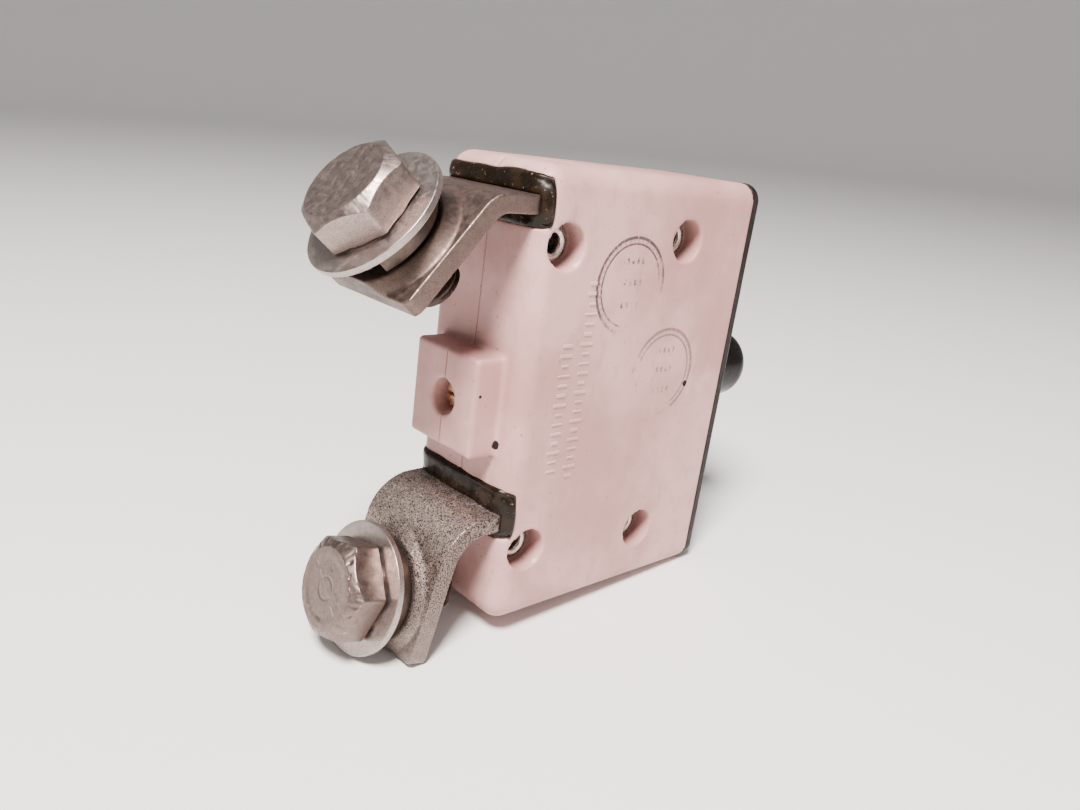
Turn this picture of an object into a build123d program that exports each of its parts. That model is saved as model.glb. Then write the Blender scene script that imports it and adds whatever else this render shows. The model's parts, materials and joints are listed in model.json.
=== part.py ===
from build123d import *
import math
import os

# Push-pull circuit breaker, one pole, in millimetres.
# Frame: the origin is the centre of the front face, on the button's axis.  +Y runs into the
# case from front to rear, +Z is up along the case, and X is the case's thickness.

# ---- driving dimensions ----
CASE_THICK = 18.73          # along X
CASE_DEPTH = 38.76          # along Y, front plate included
CASE_HEIGHT = 55.6          # along Z
EDGE_RADIUS = 2.5           # moulded outer edges
PLATE_THICK = 1.45          # front plate
SIDE_WALL = 1.8
REAR_WALL = 2.6

BUTTON_RADIUS = 5.17
BUTTON_REACH = 12.0         # from the front face to the button's end, breaker closed
BUTTON_TRAVEL = 4.8
RUN_GAP = 0.06              # radial clearance of running fits

HEX_ACROSS = 11.11          # 1/4 inch hardware
HEAD_HEIGHT = 4.5           # washer face included
HEAD_FACE_RADIUS = 4.85     # flat top inside the chamfer
HEAD_CHAMFER = 1.2
WASHER_FACE = 0.35          # round step under the hexagon
WASHER_FACE_RADIUS = 5.3
HEAD_GAP = 0.02             # the bolts are only finger tight
SHANK_RADIUS = 3.1
BOLT_LENGTH = 12.7
WASHER_BORE = 3.45
WASHER_THICK = 0.85
LOCK_BORE = 3.35
LOCK_RADIUS = 6.2
LOCK_THICK = 1.6
LOCK_RISE = 1.0             # how far a slack lock washer's ends stand apart
LOCK_HEIGHT = LOCK_THICK + LOCK_RISE
LOCK_TURN = 350             # degrees of ring between the two ends
LOCK_SPLIT_AT = -45         # degrees round the bolt
NUT_RADIUS = 4.9
NUT_THICK = 1.9

# ---- sizes that follow ----
HALF_T = CASE_THICK / 2
HALF_H = CASE_HEIGHT / 2
CAVITY_X = HALF_T - SIDE_WALL
CAVITY_Z = HALF_H - SIDE_WALL
CAVITY_REAR = CASE_DEPTH - REAR_WALL

# ---- rivets that hold the two case shells together, as (y, z) ----
RIVET_PLACES = [(34.65, 19.1), (34.65, -18.1), (13.9, 20.1), (13.9, -19.75)]
RIVET_RADIUS = 1.70
RIVET_BORE = 1.1
RIVET_HEAD_RADIUS = 2.45
RIVET_HEAD_THICK = 0.75
RECESS_RADIUS = 2.68
RECESS_DEPTH = 3.2
POST_RADIUS = 2.65          # round each rivet, mid cavity
PAD_RADIUS = 3.5            # round each recess, next to the side walls
PAD_INNER_X = 5.4

# ---- rear boss, with the way in to the calibration screw ----
BOSS_HALF_X = 5.95
BOSS_REACH = 4.0
BOSS_Z = -0.3
BOSS_HALF_Z = 6.0
ACCESS_RADIUS = 2.2
CAL_NUT_RADIUS = 2.9
CAL_NUT_END = 39.5
CAL_SCREW_RADIUS = 1.5
CAL_SCREW_END = 40.9

# ---- panel screw inserts ----
PANEL_SPACING = 44.45       # 1 3/4 inch between the two screws
INSERT_RADIUS = 2.6
INSERT_BORE = 1.75
INSERT_LENGTH = 7.5
INSERT_FLANGE = 3.4

# ---- terminals: each is a strip that leaves the rear wall and bends down into a tab ----
STRIP_HALF_X = 8.2
NECK_HALF_X = 5.0
POT_FRONT = 37.3            # where the potting starts in the rear wall
POT_PROUD = 0.35
TAB_HOLE = 3.4
TAB_CORNER = 0.8
LAND_BASE = 7.7
LAND_TOP = 6.5
LINE = {
    "top": 24.4,            # upper face where the strip leaves the case
    "thick": 2.15,
    "corner_y": 44.51,      # where the straight run would meet the straight tab
    "tilt": 41.1,           # of the bolt's axis above +Y
    "bolt_at": 8.94,        # along the tab from that corner
    "tail": 6.3,            # from the bolt's axis to the tab's end
    "land": 1.55,           # height of the raised seat round the hole
    "bend": 4.5,
    "inner_y": 28.0,
    "pot": (20.9, 26.4),
    "washer": 8.25,         # radius of the flat washer
    "turned": 38.5,         # of the hexagon about the bolt's axis
}
LOAD = {
    "top": -13.1,
    "thick": 2.3,
    "corner_y": 45.46,
    "tilt": 14.4,
    "bolt_at": 11.41,
    "tail": 6.2,
    "land": 0.8,
    "bend": 6.5,
    "inner_y": 29.0,
    "pot": (-16.3, -10.3),
    "washer": 7.95,
    "turned": 11.5,
}

# ---- mechanism, front to rear ----
PLUNGER_RADIUS = 2.5
PLUNGER_FRONT = -8.4
PLUNGER_END = 24.8
BAND_RADIUS = 4.19
BUSH_COLLAR = 6.3           # in front of the front plate
BUSH_RADIUS = 6.0           # through the front plate and behind it
RELIEF_RADIUS = 6.5         # shallow counterbore under the collar
RELIEF_DEPTH = 0.2
BUSH_PROUD = 0.8
BUSH_REAR = 3.6
BUTTON_REAR = -0.9
CROSS_FRONT = BUSH_REAR + BUTTON_TRAVEL + 0.2   # the pulled button stops just short of the bush
CROSS_REAR = 10.6
CROSS_HALF_X = 6.0
CROSS_HALF_Z = 15.5
CLIP_THICK = 0.6
CLIP_RADIUS = 3.6
CLIP_BORE = 2.1
BRIDGE_FRONT = 12.4
BRIDGE_REAR = 13.4
BRIDGE_HALF_X = 6.2
BRIDGE_HALF_Z = 15.0
BRIDGE_HOLE = 4.1
PIN_RADIUS = 0.9
PIN_Z = 8.0
PIN_END = 14.6
PIN_HEAD_RADIUS = 1.5
PIN_HEAD_THICK = 0.6
CONTACT_Z = 12.5
CONTACT_FACE = 14.2
BAR_FRONT = 15.0
BAR_THICK = 1.2
BAR_HALF_X = 4.5
BAR_INNER_Z = 9.6
BAR_OUTER_Z = 15.2
FRAME_FRONT = 17.5
FRAME_THICK = 1.2
FRAME_LOW_Z = -8.5
FRAME_TOP_Z = 9.0
CHEEK_INNER_X = 6.4
CHEEK_LOW_Z = 1.0
CHEEK_REAR = 29.5
PIVOT_Y = 26.5
PIVOT_Z = 5.5
PIVOT_RADIUS = 0.9
HUB_RADIUS = 1.9
LEVER_HALF_X = 4.4
LEVER_THICK = 1.8
TAIL_LOW_Z = -8.4
TAIL_THICK = 1.2
NOSE_Y = 20.0
GROOVE_RADIUS = 1.9
GROOVE_FRONT = 19.2
GROOVE_FLOOR_END = 20.6
GROOVE_REAR = 24.6
BIMETAL_FRONT = 31.0
BIMETAL_THICK = 0.8
BIMETAL_HALF_X = 3.0
BIMETAL_LOW_Z = -11.6
CLAMP_LOW_Z = 8.0           # the bimetal is held above this height
CLAMP_TOP_Z = 12.0
CLAMP_RIVETS_X = (-2.0, 2.0)
CLAMP_RIVET_RADIUS = 0.7
BRACKET_FRONT = 33.0
BRACKET_THICK = 1.2
BRACKET_HALF_X = 4.0
CAL_SCREW_TIP = BRACKET_FRONT + BRACKET_THICK


def span(low, high):
    """Box between two opposite corners."""
    size = [b - a for a, b in zip(low, high)]
    centre = [(a + b) / 2 for a, b in zip(low, high)]
    return Pos(*centre) * Box(*size)


def rod_x(radius, x0, x1, y, z):
    """Round bar along X."""
    return Pos((x0 + x1) / 2, y, z) * Rot(0, 90, 0) * Cylinder(radius, x1 - x0)


def rod_y(radius, y0, y1, x=0.0, z=0.0):
    """Round bar along Y."""
    return Pos(x, (y0 + y1) / 2, z) * Rot(90, 0, 0) * Cylinder(radius, y1 - y0)


def edges_near(shape, axis, value, tolerance=0.01):
    """Edges whose whole length lies at one value of an axis."""
    return [e for e in shape.edges()
            if abs(getattr(e.bounding_box().min, axis) - value) < tolerance
            and abs(getattr(e.bounding_box().max, axis) - value) < tolerance]


def coil(mean_radius, wire_radius, y0, y1, turns):
    """Compression spring along Y between two seats."""
    height = y1 - y0 - 2 * wire_radius
    path = Helix(height / turns, height, mean_radius)
    ring = Plane(origin=path @ 0, z_dir=path % 0) * Circle(wire_radius)
    return Pos(0, y0 + wire_radius, 0) * Rot(-90, 0, 0) * sweep(ring, path)


def extrude_x(points, half_x):
    """Polygon of (y, z) corners, extruded both ways along X."""
    outline = Plane.YZ * make_face(Polyline(*points, close=True))
    return extrude(outline, half_x, both=True)


# ---- case ----

def case_outline(grow=0.0):
    """Closed outer shape of both shells, rounded on every edge but the front ones."""
    body = span((-HALF_T - grow, PLATE_THICK, -HALF_H - grow),
                (HALF_T + grow, CASE_DEPTH + grow, HALF_H + grow))
    rounded = [e for e in body.edges() if e.center().Y > PLATE_THICK + 0.1]
    return fillet(rounded, EDGE_RADIUS + grow)


def rear_boss():
    boss = span((-BOSS_HALF_X, CASE_DEPTH - 1.0, BOSS_Z - BOSS_HALF_Z),
                (BOSS_HALF_X, CASE_DEPTH + BOSS_REACH, BOSS_Z + BOSS_HALF_Z))
    return fillet(edges_near(boss, "Y", CASE_DEPTH + BOSS_REACH), 0.4)


def cavity():
    """Room inside the case: open at the front, with posts left standing for the rivets."""
    room = span((-CAVITY_X, PLATE_THICK, -CAVITY_Z), (CAVITY_X, CAVITY_REAR, CAVITY_Z))
    for y, z in RIVET_PLACES:
        room -= rod_x(POST_RADIUS, -CAVITY_X, CAVITY_X, y, z)
        for side in (-1, 1):
            ends = sorted((side * PAD_INNER_X, side * CAVITY_X))
            room -= rod_x(PAD_RADIUS, *ends, y, z)
    return room


def potting_space(terminal):
    """Notch in the rear wall that the potting compound fills, open to both sides."""
    low, high = terminal["pot"]
    return span((-HALF_T - 2, POT_FRONT, low), (HALF_T + 2, CASE_DEPTH + 2, high))


def neck_slot(terminal):
    top = terminal["top"]
    return span((-NECK_HALF_X, CAVITY_REAR - 1, top - terminal["thick"]),
                (NECK_HALF_X, POT_FRONT + 1, top))


def whole_case():
    case = case_outline() + rear_boss() - cavity()
    for y, z in RIVET_PLACES:
        case -= rod_x(RIVET_RADIUS, -HALF_T, HALF_T, y, z)
        for side in (-1, 1):
            ends = sorted((side * (HALF_T - RECESS_DEPTH), side * (HALF_T + 1)))
            case -= rod_x(RECESS_RADIUS, *ends, y, z)
    for terminal in (LINE, LOAD):
        case -= potting_space(terminal)
        case -= neck_slot(terminal)
    case -= rod_y(CAL_NUT_RADIUS, CAVITY_REAR - 1, CAL_NUT_END, z=BOSS_Z)
    case -= rod_y(ACCESS_RADIUS, CAL_NUT_END - 1, CASE_DEPTH + BOSS_REACH + 1, z=BOSS_Z)
    return case


def case_shells():
    """The two moulded halves, parted on the middle plane."""
    case = whole_case()
    reach = 100
    left = case & span((-reach, -reach, -reach), (0, reach, reach))
    right = case & span((0, -reach, -reach), (reach, reach, reach))
    return left, right


def case_rivets():
    rivets = []
    head_base = HALF_T - RECESS_DEPTH
    for y, z in RIVET_PLACES:
        rivet = rod_x(RIVET_RADIUS, -head_base - 0.1, head_base + 0.1, y, z)
        for side in (-1, 1):
            ends = sorted((side * head_base, side * (head_base + RIVET_HEAD_THICK)))
            rivet += rod_x(RIVET_HEAD_RADIUS, *ends, y, z)
        for x in (-head_base - RIVET_HEAD_THICK, head_base + RIVET_HEAD_THICK):
            rivet = fillet(edges_near(rivet, "X", x), 0.35)
        rivets.append(rivet - rod_x(RIVET_BORE, -HALF_T, HALF_T, y, z))
    return rivets


def front_plate():
    plate = span((-HALF_T, 0, -HALF_H), (HALF_T, PLATE_THICK, HALF_H))
    plate = fillet(plate.edges().filter_by(Axis.Y), EDGE_RADIUS)
    plate = fillet(edges_near(plate, "Y", 0), 0.5)
    plate -= rod_y(BUSH_RADIUS, -1, PLATE_THICK + 1)
    plate -= rod_y(RELIEF_RADIUS, -1, RELIEF_DEPTH)
    for z in (-PANEL_SPACING / 2, PANEL_SPACING / 2):
        plate -= rod_y(INSERT_RADIUS, -1, PLATE_THICK + 1, z=z)
    return plate


def panel_inserts():
    """Threaded brass bushes for the two panel screws, flush with the front plate."""
    inserts = []
    for z in (-PANEL_SPACING / 2, PANEL_SPACING / 2):
        insert = rod_y(INSERT_RADIUS, 0, INSERT_LENGTH, z=z)
        insert += rod_y(INSERT_FLANGE, PLATE_THICK, PLATE_THICK + 1.0, z=z)
        inserts.append(insert - rod_y(INSERT_BORE, -1, INSERT_LENGTH + 1, z=z))
    return inserts


# ---- button and plunger ----

def button_bushing():
    """Guide for the button, pressed through the front plate, with a low collar in front of it."""
    bush = rod_y(BUSH_COLLAR, -BUSH_PROUD, 0) + rod_y(BUSH_RADIUS, 0, BUSH_REAR)
    bush = chamfer(edges_near(bush, "Y", -BUSH_PROUD), 0.2)
    return bush - rod_y(BAND_RADIUS + RUN_GAP, -BUSH_PROUD - 1, BUSH_REAR + 1)


def button():
    knob = rod_y(BUTTON_RADIUS, -BUTTON_REACH, BUTTON_REAR)
    knob = fillet(edges_near(knob, "Y", -BUTTON_REACH), 1.5)
    knob = fillet(edges_near(knob, "Y", BUTTON_REAR), 0.3)
    return knob - rod_y(PLUNGER_RADIUS, PLUNGER_FRONT, BUTTON_REAR + 1)


def trip_band():
    """White sleeve that shows between the button and the bushing once the breaker is open."""
    sleeve = rod_y(BAND_RADIUS, BUTTON_REAR, CROSS_FRONT)
    return sleeve - rod_y(PLUNGER_RADIUS, BUTTON_REAR - 1, CROSS_FRONT + 1)


def plunger():
    """Steel rod with a clip groove and, near its end, the ramped groove that the latch drops in."""
    rod = rod_y(PLUNGER_RADIUS, PLUNGER_FRONT, PLUNGER_END)
    rod -= rod_y(PLUNGER_RADIUS + 1, CROSS_REAR, CROSS_REAR + CLIP_THICK) - rod_y(CLIP_BORE, 0, PLUNGER_END)
    ramp = [(GROOVE_RADIUS, GROOVE_FRONT), (GROOVE_RADIUS, GROOVE_FLOOR_END),
            (PLUNGER_RADIUS + 0.1, GROOVE_REAR), (PLUNGER_RADIUS + 1, GROOVE_REAR),
            (PLUNGER_RADIUS + 1, GROOVE_FRONT)]
    ring = Plane.XY * make_face(Polyline(*ramp, close=True))
    return rod - revolve(ring, Axis.Y)


def plunger_clip():
    """Open retaining ring behind the crosshead."""
    ring = rod_y(CLIP_RADIUS, CROSS_REAR, CROSS_REAR + CLIP_THICK) - rod_y(CLIP_BORE, 0, PLUNGER_END)
    mouth = span((-0.9, CROSS_REAR - 1, -CLIP_RADIUS - 1), (0.9, CROSS_REAR + CLIP_THICK + 1, 0))
    return ring - mouth


def crosshead():
    """Moulded carrier on the plunger; its front face is also the stop for the pulled button."""
    bar = span((-CROSS_HALF_X, CROSS_FRONT, -CROSS_HALF_Z), (CROSS_HALF_X, CROSS_REAR, CROSS_HALF_Z))
    bar = fillet(bar.edges().filter_by(Axis.Y), 1.2)
    bar -= rod_y(PLUNGER_RADIUS, CROSS_FRONT - 1, CROSS_REAR + 1)
    for z in (-PIN_Z, PIN_Z):
        bar -= rod_y(PIN_RADIUS, CROSS_FRONT - 1, CROSS_REAR + 1, z=z)
    return bar


def bridge_pins():
    """Headed pins that carry the contact bridge on the crosshead."""
    pins = []
    for z in (-PIN_Z, PIN_Z):
        shaft = rod_y(PIN_RADIUS, CROSS_FRONT, PIN_END, z=z)
        pins.append(shaft + rod_y(PIN_HEAD_RADIUS, PIN_END - PIN_HEAD_THICK, PIN_END, z=z))
    return pins


def return_spring():
    return coil(3.2, 0.35, CROSS_REAR + CLIP_THICK, FRAME_FRONT, 5)


def contact_spring():
    return coil(4.8, 0.28, CROSS_REAR, BRIDGE_FRONT, 2)


def contact_bridge():
    """Copper bar across the two fixed contacts, with a hole for the plunger and its spring."""
    bar = span((-BRIDGE_HALF_X, BRIDGE_FRONT, -BRIDGE_HALF_Z), (BRIDGE_HALF_X, BRIDGE_REAR, BRIDGE_HALF_Z))
    bar = fillet(bar.edges().filter_by(Axis.Y), 1.5)
    bar -= rod_y(BRIDGE_HOLE, BRIDGE_FRONT - 1, BRIDGE_REAR + 1)
    for z in (-PIN_Z, PIN_Z):
        bar -= rod_y(PIN_RADIUS + RUN_GAP, BRIDGE_FRONT - 1, BRIDGE_REAR + 1, z=z)
    return bar


def contact_pair(radius, y0, y1):
    return [rod_y(radius, y0, y1, z=z) for z in (-CONTACT_Z, CONTACT_Z)]


# ---- fixed current path ----

def contact_bar(side, rear):
    """Copper bar behind a fixed contact, turned to run rearwards; side is +1 line, -1 load."""
    inner, outer = side * BAR_INNER_Z, side * BAR_OUTER_Z
    lip = side * (BAR_OUTER_Z - BAR_THICK)
    corners = [(BAR_FRONT, inner), (BAR_FRONT, outer), (rear, outer), (rear, lip),
               (BAR_FRONT + BAR_THICK, lip), (BAR_FRONT + BAR_THICK, inner)]
    return extrude_x(corners, BAR_HALF_X)


def line_contact_bar():
    """Bar that also climbs to the underside of the line terminal."""
    riser_front = LINE["inner_y"]
    riser_rear = riser_front + BAR_THICK
    foot_top = LINE["top"] - LINE["thick"]
    riser = span((-BAR_HALF_X, riser_front, BAR_OUTER_Z - BAR_THICK), (BAR_HALF_X, riser_rear, foot_top))
    foot = span((-BAR_HALF_X, riser_front, foot_top - BAR_THICK), (BAR_HALF_X, riser_front + 3.6, foot_top))
    return contact_bar(1, riser_rear) + riser + foot


def load_contact_bar():
    return contact_bar(-1, 24.0)


def shunt_braid():
    """Flexible copper lead from the load contact bar to the bimetal's free end."""
    rest_z = -BAR_OUTER_Z + BAR_THICK + 1.2
    route = FilletPolyline((0, 22.0, rest_z), (0, 27.2, rest_z), (0, 28.6, -10.4),
                           (0, BIMETAL_FRONT - 0.1, -10.4), radius=1.1)
    end = Plane(origin=route @ 0, z_dir=route % 0) * Circle(0.9)
    return sweep(end, Plane.XY * route)


# ---- latch and bimetal ----

def mechanism_frame():
    """Steel cross plate with two cheeks that hold the latch pin."""
    frame = span((-CAVITY_X, FRAME_FRONT, FRAME_LOW_Z), (CAVITY_X, FRAME_FRONT + FRAME_THICK, FRAME_TOP_Z))
    frame -= rod_y(PLUNGER_RADIUS + RUN_GAP, FRAME_FRONT - 1, FRAME_FRONT + FRAME_THICK + 1)
    for side in (-1, 1):
        ends = sorted((side * CHEEK_INNER_X, side * CAVITY_X))
        cheek = span((ends[0], FRAME_FRONT, CHEEK_LOW_Z), (ends[1], CHEEK_REAR, FRAME_TOP_Z))
        frame += fillet([e for e in edges_near(cheek, "Y", CHEEK_REAR) if e.length < 2], 1.5)
    return frame - rod_x(PIVOT_RADIUS, -HALF_T, HALF_T, PIVOT_Y, PIVOT_Z)


def latch_pin():
    return rod_x(PIVOT_RADIUS, -CAVITY_X, CAVITY_X, PIVOT_Y, PIVOT_Z)


def latch_lever():
    """Lever on the pin: a nose that drops in the plunger's groove, and a tail by the bimetal."""
    hub = rod_x(HUB_RADIUS, -LEVER_HALF_X - 0.2, LEVER_HALF_X + 0.2, PIVOT_Y, PIVOT_Z)
    tip_z = GROOVE_RADIUS + 0.12
    nose = [(PIVOT_Y, PIVOT_Z + 1.6), (NOSE_Y + 0.4, tip_z + 2.6), (NOSE_Y - 0.5, tip_z + 1.6),
            (NOSE_Y - 0.3, tip_z), (NOSE_Y + 0.3, tip_z), (NOSE_Y + 1.2, tip_z + 1.4),
            (PIVOT_Y, PIVOT_Z - 1.0)]
    back_front = PIVOT_Y - LEVER_THICK / 2
    back = span((-LEVER_HALF_X, back_front, TAIL_LOW_Z), (LEVER_HALF_X, back_front + LEVER_THICK, PIVOT_Z))
    tail = span((-LEVER_HALF_X, back_front, TAIL_LOW_Z),
                (LEVER_HALF_X, BIMETAL_FRONT - 0.2, TAIL_LOW_Z + TAIL_THICK))
    lever = hub + extrude_x(nose, 2.4) + back + tail
    return lever - rod_x(PIVOT_RADIUS + RUN_GAP, -HALF_T, HALF_T, PIVOT_Y, PIVOT_Z)


def latch_spring():
    """Small torsion spring beside the hub, drawn as its closed coil with one leg on the frame."""
    ring = rod_x(1.7, 4.75, 5.95, PIVOT_Y, PIVOT_Z) - rod_x(1.15, 4.0, 7.0, PIVOT_Y, PIVOT_Z)
    leg = span((5.5, FRAME_FRONT + FRAME_THICK, PIVOT_Z + 1.2), (5.95, PIVOT_Y, PIVOT_Z + 1.65))
    return ring + leg


def bimetal_bracket():
    """Springy upright on the load terminal; the calibration screw bears on its back."""
    foot_low = LOAD["top"]
    rear = BRACKET_FRONT + BRACKET_THICK
    upright = span((-BRACKET_HALF_X, BRACKET_FRONT, foot_low), (BRACKET_HALF_X, rear, CLAMP_TOP_Z))
    foot_top = foot_low + BRACKET_THICK
    foot = span((-BRACKET_HALF_X, LOAD["inner_y"], foot_low), (BRACKET_HALF_X, rear, foot_top))
    return upright + foot


def clamp_holes(part):
    """Cut the two rivet holes of the bimetal's clamp."""
    for x in CLAMP_RIVETS_X:
        part -= rod_y(CLAMP_RIVET_RADIUS, 20, 40, x=x, z=(CLAMP_LOW_Z + CLAMP_TOP_Z) / 2)
    return part


def bimetal_spacer():
    front = BIMETAL_FRONT + BIMETAL_THICK
    return clamp_holes(span((-BRACKET_HALF_X, front, CLAMP_LOW_Z),
                            (BRACKET_HALF_X, BRACKET_FRONT, CLAMP_TOP_Z)))


def bimetal_strip():
    return clamp_holes(span((-BIMETAL_HALF_X, BIMETAL_FRONT, BIMETAL_LOW_Z),
                            (BIMETAL_HALF_X, BIMETAL_FRONT + BIMETAL_THICK, CLAMP_TOP_Z)))


def bimetal_rivets():
    rivets = []
    front = BIMETAL_FRONT - 0.5
    for x in CLAMP_RIVETS_X:
        place = {"x": x, "z": (CLAMP_LOW_Z + CLAMP_TOP_Z) / 2}
        shaft = rod_y(CLAMP_RIVET_RADIUS, front, BRACKET_FRONT, **place)
        rivets.append(shaft + rod_y(1.2, front, BIMETAL_FRONT, **place))
    return rivets


def calibration_nut():
    nut = rod_y(CAL_NUT_RADIUS, CAVITY_REAR, CAL_NUT_END, z=BOSS_Z)
    return nut - rod_y(CAL_SCREW_RADIUS + RUN_GAP, CAVITY_REAR - 1, CAL_NUT_END + 1, z=BOSS_Z)


def calibration_screw():
    """Headless screw with a slot across its outer end."""
    screw = rod_y(CAL_SCREW_RADIUS, CAL_SCREW_TIP, CAL_SCREW_END, z=BOSS_Z)
    screw = chamfer(edges_near(screw, "Y", CAL_SCREW_TIP), 0.4)
    slot = span((-2, CAL_SCREW_END - 0.8, BOSS_Z - 0.25), (2, CAL_SCREW_END + 1, BOSS_Z + 0.25))
    return screw - slot


def arc_barriers():
    """Fibre sheets between the contacts and the side walls."""
    sheets = []
    for side in (-1, 1):
        ends = sorted((side * 6.7, side * 7.4))
        sheets.append(span((ends[0], 7.0, -16), (ends[1], FRAME_FRONT - 0.2, 16)))
    return sheets


# ---- terminals and their hardware ----

def tab_plane(terminal, out=0.0):
    """Plane on a tab: origin on the bolt's axis, z along it and outwards, y up the tab."""
    tilt = math.radians(terminal["tilt"])
    outward = Vector(0, math.cos(tilt), math.sin(tilt))
    down = Vector(0, math.sin(tilt), -math.cos(tilt))
    corner = Vector(0, terminal["corner_y"], terminal["top"])
    return Plane(corner + down * terminal["bolt_at"] + outward * out, x_dir=(-1, 0, 0), z_dir=outward)


def disc(plane, radius, low, high):
    """Round bar along a plane's normal between two heights."""
    return plane * (Pos(0, 0, (low + high) / 2) * Cylinder(radius, high - low))


def edges_at(shape, y, z, longest=100.0):
    """Edges whose middle lies at one (y, z), up to a given length."""
    return [e for e in shape.edges()
            if math.hypot(e.center().Y - y, e.center().Z - z) < 0.01 and e.length < longest]


def terminal_strip(terminal):
    """Bent strip with a neck into the case and a raised seat round the bolt hole."""
    top, thick, corner_y = terminal["top"], terminal["thick"], terminal["corner_y"]
    tilt = math.radians(terminal["tilt"])
    reach = terminal["bolt_at"] + terminal["tail"]
    end = (corner_y + reach * math.sin(tilt), top - reach * math.cos(tilt))
    under = (end[0] - thick * math.cos(tilt), end[1] - thick * math.sin(tilt))
    inner_y = corner_y - thick * math.tan((math.pi / 2 - tilt) / 2)
    corners = [(POT_FRONT, top), (corner_y, top), end, under,
               (inner_y, top - thick), (POT_FRONT, top - thick)]
    strip = extrude_x(corners, STRIP_HALF_X)
    strip = fillet(edges_at(strip, corner_y, top), terminal["bend"])
    strip = fillet(edges_at(strip, inner_y, top - thick), terminal["bend"] - thick)
    middle = ((end[0] + under[0]) / 2, (end[1] + under[1]) / 2)
    strip = fillet(edges_at(strip, *middle, longest=4), TAB_CORNER)
    neck = span((-NECK_HALF_X, terminal["inner_y"], top - thick), (NECK_HALF_X, POT_FRONT + 1, top))
    return strip + neck + bolt_land(terminal) - disc(tab_plane(terminal), TAB_HOLE, -thick - 1, 5)


def bolt_land(terminal):
    """Raised seat round a bolt hole, cut off level with the tab's end."""
    height = terminal["land"]
    reach = terminal["tail"]
    cone = Pos(0, 0, height / 2) * Cone(LAND_BASE, LAND_TOP, height)
    room = Pos(0, (LAND_BASE - reach) / 2, 0) * Box(2 * LAND_BASE, LAND_BASE + reach, 2 * height)
    return tab_plane(terminal) * (cone & room)


def terminal_seal(terminal):
    """Potting compound round a strip, a little proud of the case."""
    filled = case_outline(POT_PROUD) & potting_space(terminal)
    return filled - terminal_strip(terminal)


def lock_washer(terminal):
    """Slack split washer: one turn of a flat coil, its upper end against the flat washer."""
    width = LOCK_RADIUS - LOCK_BORE
    middle = (LOCK_RADIUS + LOCK_BORE) / 2
    path = Helix(LOCK_RISE * 360 / LOCK_TURN, LOCK_RISE, middle)
    section = Plane(origin=path @ 0, x_dir=(1, 0, 0), z_dir=path % 0) * Rectangle(width, LOCK_THICK)
    ring = sweep(section, path, is_frenet=True)
    low = terminal["land"] + LOCK_THICK / 2
    return tab_plane(terminal, low) * (Rot(0, 0, LOCK_SPLIT_AT) * ring)


def flat_washer(terminal):
    face = tab_plane(terminal, terminal["land"] + LOCK_HEIGHT)
    ring = disc(face, terminal["washer"], 0, WASHER_THICK)
    rims = [e for e in ring.edges() if e.geom_type == GeomType.CIRCLE]
    return fillet(rims, 0.2) - disc(face, WASHER_BORE, -1, WASHER_THICK + 1)


def terminal_bolt(terminal):
    """Hex head bolt with a washer face, its head chamfered all round the top."""
    seat = terminal["land"] + LOCK_HEIGHT + WASHER_THICK
    face = tab_plane(terminal, seat)
    corner = HEX_ACROSS / math.sqrt(3) + 0.05
    chamfer_base = HEAD_HEIGHT - HEAD_CHAMFER
    hexagon = Rot(0, 0, terminal["turned"]) * RegularPolygon(HEX_ACROSS / 2, 6, major_radius=False)
    head = face * (Pos(0, 0, WASHER_FACE) * extrude(hexagon, HEAD_HEIGHT - WASHER_FACE))
    crown = Pos(0, 0, chamfer_base + HEAD_CHAMFER / 2) * Cone(corner, HEAD_FACE_RADIUS, HEAD_CHAMFER)
    trimmed = head & (face * crown + disc(face, corner, 0, chamfer_base))
    washer_face = disc(face, WASHER_FACE_RADIUS, HEAD_GAP, WASHER_FACE)
    return trimmed + washer_face + disc(face, SHANK_RADIUS, -BOLT_LENGTH, WASHER_FACE)


def captive_nut(terminal):
    face = tab_plane(terminal, -terminal["thick"])
    nut = disc(face, NUT_RADIUS, -NUT_THICK, 0)
    rims = [e for e in nut.edges() if e.geom_type == GeomType.CIRCLE]
    return fillet(rims, 0.35) - disc(face, SHANK_RADIUS + RUN_GAP, -NUT_THICK - 1, 1)


def parts():
    left, right = case_shells()
    named = {
        "case_shell_left": left,
        "case_shell_right": right,
        "case_rivets": case_rivets(),
        "front_plate": front_plate(),
        "panel_inserts": panel_inserts(),
        "button_bushing": button_bushing(),
        "button": button(),
        "trip_band": trip_band(),
        "plunger": plunger(),
        "plunger_clip": plunger_clip(),
        "crosshead": crosshead(),
        "bridge_pins": bridge_pins(),
        "return_spring": return_spring(),
        "contact_spring": contact_spring(),
        "contact_bridge": contact_bridge(),
        "moving_contacts": contact_pair(2.2, BRIDGE_REAR, CONTACT_FACE),
        "fixed_contacts": contact_pair(2.4, CONTACT_FACE, BAR_FRONT),
        "line_contact_bar": line_contact_bar(),
        "load_contact_bar": load_contact_bar(),
        "shunt_braid": shunt_braid(),
        "mechanism_frame": mechanism_frame(),
        "latch_pin": latch_pin(),
        "latch_lever": latch_lever(),
        "latch_spring": latch_spring(),
        "bimetal_bracket": bimetal_bracket(),
        "bimetal_spacer": bimetal_spacer(),
        "bimetal_strip": bimetal_strip(),
        "bimetal_rivets": bimetal_rivets(),
        "calibration_nut": calibration_nut(),
        "calibration_screw": calibration_screw(),
        "arc_barriers": arc_barriers(),
    }
    for name, terminal in (("line", LINE), ("load", LOAD)):
        named[name + "_terminal"] = terminal_strip(terminal)
        named[name + "_terminal_seal"] = terminal_seal(terminal)
        named[name + "_captive_nut"] = captive_nut(terminal)
        named[name + "_lock_washer"] = lock_washer(terminal)
        named[name + "_flat_washer"] = flat_washer(terminal)
        named[name + "_bolt"] = terminal_bolt(terminal)
    return named


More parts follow.
